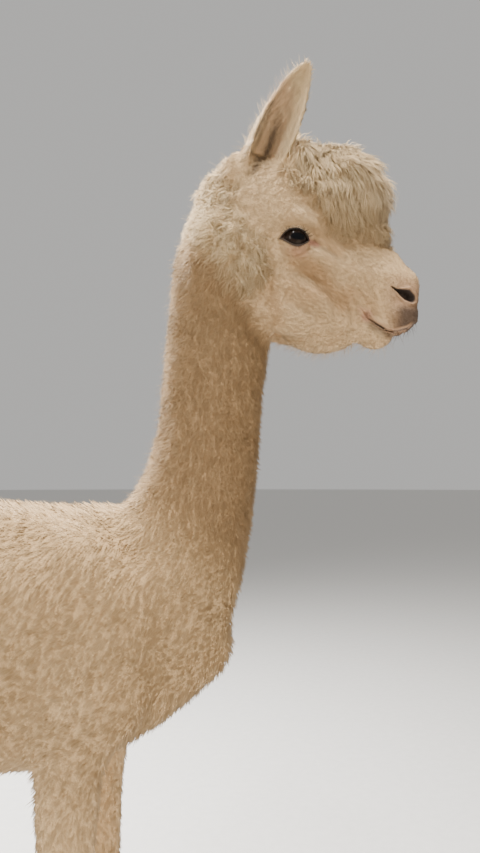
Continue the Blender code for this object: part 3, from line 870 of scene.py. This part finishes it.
class Nodes:
    """A short way to write a material's node tree."""

    def __init__(self, name):
        self.material = bpy.data.materials.new(name)
        self.material.use_nodes = True
        self.tree = self.material.node_tree
        self.shader = self.tree.nodes["Principled BSDF"]

    def add(self, kind, inputs=None, **settings):
        node = self.tree.nodes.new("ShaderNode" + kind)
        for key, value in settings.items():
            setattr(node, key, value)
        for key, value in (inputs or {}).items():
            self.put(node.inputs[key], value)
        return node

    def put(self, socket, value):
        if isinstance(value, bpy.types.NodeSocket):
            self.tree.links.new(value, socket)
        else:
            socket.default_value = value

    def set(self, **values):
        """Sets the shader's own sockets, with _ for each space in a name."""
        for key, value in values.items():
            self.put(self.shader.inputs[key.replace("_", " ")], value)

    def place(self):
        return self.add("TexCoord").outputs["Object"]

    def noise(self, scale, detail=2.0, roughness=0.5):
        node = self.add("TexNoise", {"Scale": scale, "Detail": detail, "Roughness": roughness})
        self.put(node.inputs["Vector"], self.place())
        return node.outputs["Fac"]

    def math(self, operation, a, b=0.0, c=0.0, clamp=False):
        return self.add("Math", {0: a, 1: b, 2: c}, operation=operation, use_clamp=clamp).outputs[0]

    def ramp(self, factor, stops):
        node = self.add("ValToRGB", {"Fac": factor})
        ramp = node.color_ramp
        while len(ramp.elements) < len(stops):
            ramp.elements.new(0.5)
        for element, (position, colour) in zip(ramp.elements, stops):
            element.position = position
            element.color = (*colour, 1)
        return node.outputs["Color"]

    def mix(self, factor, a, b, blend="MIX"):
        node = self.add("Mix", data_type="RGBA", blend_type=blend)
        self.put(node.inputs[0], factor)
        for socket, value in ((node.inputs[6], a), (node.inputs[7], b)):
            self.put(socket, (*value, 1) if isinstance(value, tuple) else value)
        return node.outputs[2]

    def attribute(self, name):
        return self.add("Attribute", attribute_name=name).outputs["Fac"]

    def bump(self, height, strength, distance):
        node = self.add("Bump", {"Height": height, "Strength": strength, "Distance": distance})
        self.tree.links.new(node.outputs["Normal"], self.shader.inputs["Normal"])


FLEECE_LIGHT = (0.91, 0.735, 0.475)
FLEECE = (0.83, 0.630, 0.370)
FLEECE_DEEP = (0.66, 0.445, 0.235)
PINK = (0.56, 0.27, 0.18)
DARK = (0.030, 0.019, 0.015)


def fleece_colour(m, shade=None):
    """The coat's colour by place, the same on skin and tufts; the deep and dark attributes carry painted
    shade too. Shade multiplies the wool's own colour: painted root shade and each tuft's tone.
    """
    broad = m.noise(5.0, 3.0)
    fine = m.noise(60.0, 2.0)
    base = m.ramp(broad, [(0.30, FLEECE), (0.70, FLEECE_LIGHT)])
    base = m.mix(m.math("MULTIPLY", m.math("SUBTRACT", fine, 0.45, clamp=True), 0.9), base, FLEECE_DEEP)
    low = m.add("SeparateXYZ", {0: m.place()}).outputs["Z"]
    # Darker towards the floor, below 0.3 m.
    near_floor = m.math("MULTIPLY", m.math("SUBTRACT", 0.30, low, clamp=True), 1.2)
    base = m.mix(near_floor, base, FLEECE_DEEP)
    # Deep and dark: the coat's own tone, dark skin and painted shade.
    base = m.mix(m.attribute("deep_tone_and_shade"), base, FLEECE_DEEP)
    if shade is not None:
        base = m.mix(1.0, base, shade, "MULTIPLY")
    base = m.mix(m.attribute("pink"), base, PINK)
    return m.mix(m.attribute("dark"), base, DARK)


def skin_material():
    m = Nodes("skin")
    # The skin under the coat takes the painted shade of the wool's roots.
    m.set(Base_Color=fleece_colour(m, (0.86, 0.80, 0.72)), Roughness=0.75)
    m.bump(m.noise(520.0, 3.0, 0.6), 0.9, 0.0012)
    return m.material


def coat_material():
    """Wool: pale at the tips, with painted shade making it warmer and darker at the roots, and letting some
    light through.
    """
    m = Nodes("coat")
    white = (1, 1, 1)
    # Painted shade: darker towards the roots, where the wool shades itself.
    root_shade = m.ramp(m.attribute("along"), [(0, (0.86, 0.80, 0.72)), (0.5, (0.98, 0.96, 0.94)), (1, white)])
    each = m.ramp(m.attribute("tuft"), [(0, (0.76, 0.70, 0.62)), (0.5, (0.98, 0.97, 0.95)), (1, white)])
    colour = fleece_colour(m, m.mix(1.0, root_shade, each, "MULTIPLY"))
    m.set(Base_Color=colour, Roughness=0.78, Specular_IOR_Level=0.2)
    m.set(Sheen_Weight=0.18, Sheen_Roughness=0.4, Sheen_Tint=(1.0, 0.95, 0.88, 1))
    through = m.add("BsdfTranslucent", {"Color": colour})
    both = m.add("MixShader", {0: THROUGH})
    m.tree.links.new(m.shader.outputs[0], both.inputs[1])
    m.tree.links.new(through.outputs[0], both.inputs[2])
    m.tree.links.new(both.outputs[0], m.tree.nodes["Material Output"].inputs["Surface"])
    return m.material


def eye_material():
    """The eyeball: a dark brown iris round a wide, level pupil, under a wet clear layer."""
    m = Nodes("eye")
    streaks = m.noise(900.0, 3.0, 0.6)
    iris = m.ramp(streaks, [(0.3, (0.008, 0.005, 0.004)), (0.7, (0.028, 0.016, 0.010))])
    colour = m.mix(m.attribute("pupil"), iris, (0.002, 0.002, 0.003))
    colour = m.mix(m.attribute("white"), colour, (0.10, 0.06, 0.045))
    m.set(Base_Color=colour, Roughness=0.22, Specular_IOR_Level=0.05)
    m.set(Coat_Weight=0.45, Coat_Roughness=0.02, Coat_IOR=1.30)
    return m.material


def plain_material(name, stops, scale, roughness, bump=0.2):
    m = Nodes(name)
    grain = m.noise(scale, 4.0, 0.6)
    m.set(Base_Color=m.ramp(grain, stops), Roughness=roughness)
    m.bump(grain, bump, 0.0006)
    return m.material


# ---------------- eyes, lashes and nails


def build_eye(side, word, material):
    """An eyeball with a raised cornea over the iris."""
    centre, out, ahead, up = eye_frame(side)
    bm = bmesh.new()
    bmesh.ops.create_uvsphere(bm, u_segments=64, v_segments=48, radius=1.0)
    mesh = mesh_of(bm, "eyeball_" + word)
    q = unit(points_of(mesh))
    a, b, h = q[:, 0], q[:, 1], q[:, 2]
    spread = np.arccos(np.clip(h, -1, 1))
    bulge = 0.0010 * smooth(0.75, 0.45, spread)
    radius = EYE_RADIUS - 0.0006 + bulge
    p = centre + radius[:, None] * (a[:, None] * ahead + b[:, None] * up + h[:, None] * out)
    set_points(mesh, p)
    if np.dot(np.cross(ahead, up), out) < 0:
        mesh.flip_normals()
    add_attribute(mesh, "pupil", smooth(1.15, 0.95, np.hypot(a / 0.42, b / 0.22)))
    add_attribute(mesh, "white", smooth(0.74, 0.84, np.hypot(a, b)))
    mesh.shade_smooth()
    mesh.materials.append(material)
    obj = new_object("eyeball_" + word, mesh)
    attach(obj, "root")
    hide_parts("eye_" + word)
    return obj


LASH_STEPS = 6
LASH_WIDTH = 0.00022


def lash_lines(side, count, length, upper, seed):
    """Curved hairs from a lid's edge, as lines of points."""
    rng = np.random.default_rng(seed)
    centre, out, ahead, up = eye_frame(side)
    a = np.linspace(-0.0165, 0.0135, count) + rng.normal(0, 0.0003, count)
    top, bottom = lid_edges(a)
    b = (top + 0.0007 if upper else bottom - 0.0007) + rng.normal(0, 0.0003, count)
    h = np.sqrt(np.maximum((EYE_RADIUS + 0.0022) ** 2 - a**2 - b**2, 1e-8))
    root = centre + a[:, None] * ahead + b[:, None] * up + h[:, None] * out
    s = np.linspace(0, 1, LASH_STEPS)
    sign = 1 if upper else -0.8
    way_out = 0.75 + rng.normal(0, 0.10, count)
    fan = a / 0.016 * 0.55 + rng.normal(0, 0.12, count)
    size = length * (1 + rng.normal(0, 0.15, count))
    drop = (-0.50 + rng.normal(0, 0.12, count)) if upper else (-0.30 + rng.normal(0, 0.1, count))
    lines = root[:, None] + size[:, None, None] * (
        out * (way_out[:, None] * s)[..., None]
        + ahead * ((fan[:, None] + 0.10) * s)[..., None]
        + up * ((drop[:, None] * s + sign * 0.55 * s**2))[..., None]
    )
    return lines, np.tile(out, (count, 1))


def build_lashes(material):
    sets = [
        lash_lines(side, count, length, upper, 31 + side + 5 * upper)
        for side in (-1, 1)
        for upper, count, length in ((True, 90, 0.0085), (False, 40, 0.0040))
    ]
    lines, normals = (np.concatenate(found) for found in zip(*sets))
    widths = LASH_WIDTH * np.linspace(1, 0.4, lines.shape[1] - 1)[None].repeat(len(lines), 0)
    uv = np.stack([np.linspace(0.1, 0.9, len(lines)), np.full(len(lines), 0.5)], 1)
    for piece in tuft_mesh("lashes", lines[:, 0], normals, uv, lines, widths):
        piece.data.materials.append(material)
        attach(piece, "root")


def dress_nails(material):
    """Each packed toenail, smoothed and given the horn material."""
    for name in sorted(n for n in NODES if n.startswith("nail")):
        bm = bmesh.new()
        bm.from_mesh(NODES[name].data)
        bmesh.ops.remove_doubles(bm, verts=bm.verts[:], dist=1e-5)
        obj = new_object(name + "_horn", mesh_of(bm, name + "_horn"))
        levels = obj.modifiers.new("Round", "SUBSURF")
        levels.levels = levels.render_levels = 2
        settled(obj)
        obj.data.shade_smooth()
        obj.data.materials.clear()
        obj.data.materials.append(material)
        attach(obj, "root")
        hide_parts(name)


# ---------------- the stage


def build_stage():
    """A pale floor."""
    bm = bmesh.new()
    bmesh.ops.create_circle(bm, cap_ends=True, segments=96, radius=60)
    mesh = mesh_of(bm, "floor")
    m = Nodes("floor")
    speckle = m.noise(40.0, 3.0)
    m.set(Base_Color=m.ramp(speckle, [(0.3, (0.66, 0.65, 0.63)), (0.7, (0.70, 0.69, 0.67))]), Roughness=0.8)
    mesh.materials.append(m.material)
    new_object("floor", mesh)


# Each light's name, place, width across, power in watts and colour. All face the head.
LIGHTS = [
    ("back", (-1.5, 1.3, 2.3), 0.8, 340, (1.0, 0.98, 0.95)),
    ("top", (0.4, -0.3, 3.0), 1.0, 90, (1.0, 0.94, 0.86)),
    ("window", (0.35, -1.1, 2.8), 0.16, 24, (1.0, 0.98, 0.94)),
    ("side", (-1.6, -2.2, 2.0), 1.4, 36, (1.0, 0.94, 0.85)),
    ("low", (1.6, -1.8, 0.5), 1.6, 12, (1.0, 0.80, 0.58)),
]
SKY = (1.0, 0.985, 0.96, 1)
SKY_STRENGTH = 0.52
CAMERA_PLACE = (HEAD[0] - 0.0653, -0.82, HEAD[2] - 0.2943)
CAMERA_TILT = math.radians(90 + 4.7)
CAMERA_LENS = 27.43


def area_light(name, place, size, power, colour):
    data = bpy.data.lights.new(name, "AREA")
    data.shape = "DISK"
    data.size = size
    data.energy = power
    data.color = colour
    obj = new_object(name, data)
    obj.location = place
    aim = Vector((EYE[0], 0, EYE[2])) - Vector(place)
    obj.rotation_euler = aim.to_track_quat("-Z", "Y").to_euler()


def light_and_camera():
    world = bpy.data.worlds.new("studio")
    bpy.context.scene.world = world
    world.use_nodes = True
    background = world.node_tree.nodes["Background"]
    background.inputs["Color"].default_value = SKY
    background.inputs["Strength"].default_value = SKY_STRENGTH
    for light in LIGHTS:
        area_light(*light)
    data = bpy.data.cameras.new("camera")
    data.lens = CAMERA_LENS
    data.dof.use_dof = False
    camera = new_object("camera", data)
    camera.location = CAMERA_PLACE
    camera.rotation_euler = (CAMERA_TILT, 0, 0)
    bpy.context.scene.camera = camera


# ---------------- assembly


def haired(places):
    """0 inside the lids and the nostrils and along the mouth line, 1 elsewhere."""
    dx, _, _ = head_local(places)
    bare = np.zeros(len(dx))
    for s in (-1, 1):
        centre, out, ahead, up = eye_frame(s)
        q = places - centre
        near = (q @ out > -0.004) & (np.linalg.norm(q, axis=1) < 0.03)
        bare = np.maximum(bare, smooth(-0.0030, -0.0012, lid_opening(q @ ahead, q @ up)) * near)
    holes = smooth(1.9, 1.4, in_nostril(places)) * (dx > 0.1)
    lips = smooth(0.0018, 0.0009, xz_line_distance(places, MOUTH)) * (dx > 0.07)
    return (1 - bare) * (1 - holes) * (1 - lips)


def build_coat(surface, material):
    """Every set of tufts: its name, where it grows, its spacing, length, width and lift."""
    r = regions(surface.centres)
    dx, dz, _ = head_local(surface.centres)
    clear = haired(surface.centres)
    sole = 1 - smooth(-0.80, -0.95, surface.face_normals[:, 2]) * (surface.centres[:, 2] < 0.02)
    muzzle = smooth(0.09, 0.14, dx)
    nape = (r["neck"] + r["bonnet"] + r["top"] + r["ear"]) * smooth(0.2, -0.3, surface.face_normals[:, 0])
    chin = r["face"] * smooth(-0.3, -0.8, surface.face_normals[:, 2]) * (dz < -0.07)
    short = dict(steps=2, clump=0.004, pull=0.30, soft=0.82)
    wool = dict(steps=4, clump=0.0055, pull=0.8, gather=0.7, curl=0.0012, droop=0.5, wander=0.6, soft=0.86)
    crown = dict(wool, clump=0.0055, curl=0.0009, droop=0.7, wander=0.34, fade=True)
    forelock = dict(crown, pull=0.4, gather=0.3)
    body = dict(short, clump=0.007, pull=0.22, wander=0.30)
    down = dict(steps=2, clump=0.001, wander=1.2, spread=0.5, soft=0.88)
    stray = dict(steps=3, clump=0.001, spread=0.6, soft=0.4, wander=0.8)
    woolly = np.clip(r["bonnet"] + r["top"], 0, 1)
    front = smooth(0.060, 0.090, dx)
    sets = [
        ("coat_muzzle", r["face"] * clear * muzzle, 0.0011, 0.0036, 0.00026, 26, dict(short, soft=0.6)),
        ("coat_face", r["face"] * clear * (1 - muzzle), 0.00132, 0.0062, 0.00033, 18, short),
        ("coat_ears", r["ear"], 0.0013, 0.0068, 0.00032, 22, dict(short, clump=0.003, pull=0.5)),
        ("coat_bonnet", r["bonnet"], 0.0018, 0.0130, 0.00044, 38, wool),
        ("coat_topknot", r["top"] * (1 - front), 0.0016, 0.0225, 0.00046, 38, crown),
        ("coat_forelock", r["top"] * front, 0.0016, 0.0210, 0.00040, 32, forelock),
        ("coat_down", woolly, 0.0022, 0.0085, 0.00064, 50, down),
        ("coat_neck", r["neck"], 0.0017, 0.0088, 0.00046, 42, dict(body, clump=0.005, pull=0.35)),
        ("coat_trunk", r["trunk"], 0.0034, 0.0110, 0.00075, 32, dict(body, wander=0.28)),
        ("coat_legs", r["leg"], 0.0033, 0.0090, 0.00070, 24, dict(short, clump=0.007, pull=0.20)),
        ("coat_feet", r["foot"] * sole, 0.0028, 0.0060, 0.00062, 22, short),
        ("coat_tail", r["tail"], 0.0036, 0.0190, 0.00095, 34, dict(wool, clump=0.012)),
        ("coat_stray", np.clip(nape, 0, 1), 0.0041, 0.0130, 0.00013, 50, stray),
        ("coat_whisker", chin, 0.0038, 0.0140, 0.00013, 50, stray),
    ]
    for name, share, spacing, length, width, lift, more in sets:
        for piece in grow(surface, name, share, spacing, length, width, lift, **more):
            piece.data.materials.append(material)
            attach(piece, "root")


skin = build_skin()
skin.data.materials.clear()
skin.data.materials.append(skin_material())
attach(skin, "root")
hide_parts(*FLESH)

build_coat(Surface(skin), coat_material())

wet_eye = eye_material()
for eye_side, eye_word in ((-1, "right"), (1, "left")):
    build_eye(eye_side, eye_word, wet_eye)
lash_colours = [(0.3, (0.012, 0.009, 0.007)), (0.7, (0.03, 0.022, 0.016))]
build_lashes(plain_material("lash", lash_colours, 300, 0.5))
horn_colours = [(0.3, (0.055, 0.042, 0.032)), (0.7, (0.16, 0.125, 0.095))]
dress_nails(plain_material("nail", horn_colours, 240, 0.42, 0.35))

build_stage()
light_and_camera()
